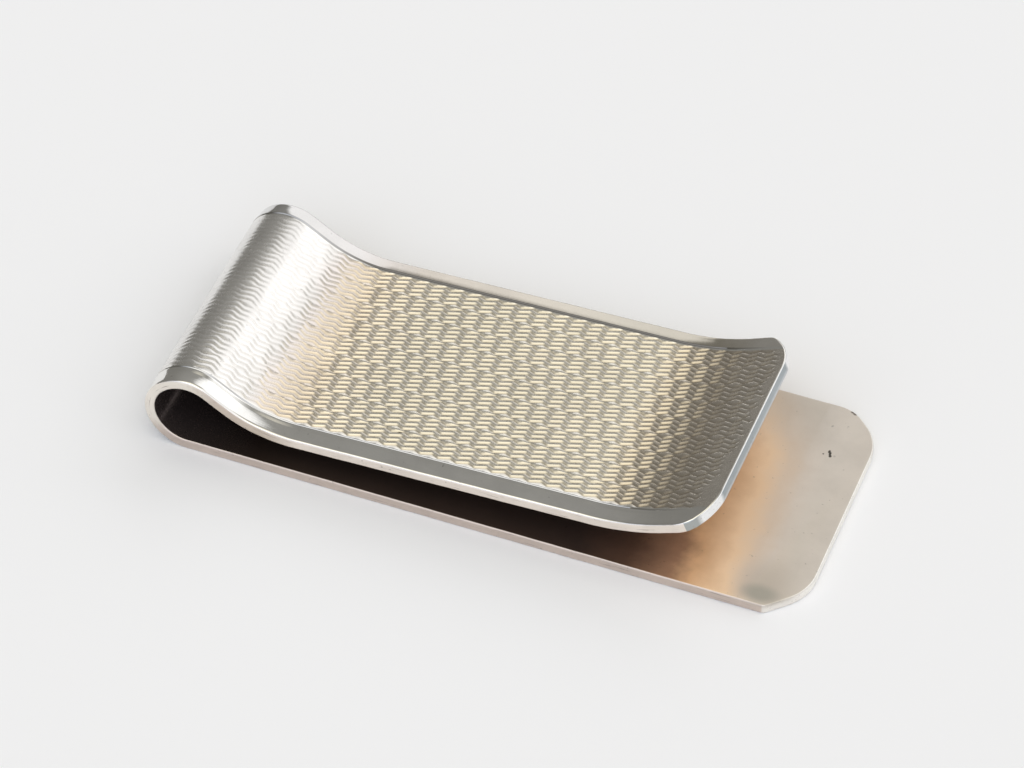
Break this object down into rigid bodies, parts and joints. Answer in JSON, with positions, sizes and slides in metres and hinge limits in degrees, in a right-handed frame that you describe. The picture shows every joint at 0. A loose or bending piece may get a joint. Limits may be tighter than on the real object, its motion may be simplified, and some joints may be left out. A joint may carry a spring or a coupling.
{
  "type": "money clip",
  "caption": "Spring money clip bent from one silver strip: long plain back leaf, teardrop bow, and a shorter engine-turned front leaf with a flared lip.",
  "frame": {"origin": "middle of the clip's length and width, on the underside of the back leaf", "axes": "+X from the spring bow to the free ends, +Y across the strip, +Z from the back leaf up to the front leaf"},
  "size_m": [0.0542, 0.0228, 0.0077],
  "materials": {
    "plain_silver": "worn polished sterling silver, warm tarnish on the inner face",
    "engraved_silver": "polished sterling silver, engine turned with wavy lines inside a plain border"
  },
  "bodies": {
    "back_half": {"back_leaf": "plain_silver", "bow_lower": "engraved_silver"},
    "front_half": {"bow_upper": "engraved_silver", "front_leaf": "engraved_silver"}
  },
  "joints": [
    {"name": "bow_flex", "type": "hinge", "parent": "back_half", "child": "front_half", "pos_m": [-0.02665, 0, 0.0035], "axis": [0, -1, 0], "range_deg": [-4.4, 7.2], "stiffness_Nm_per_rad": 7.3}
  ]
}
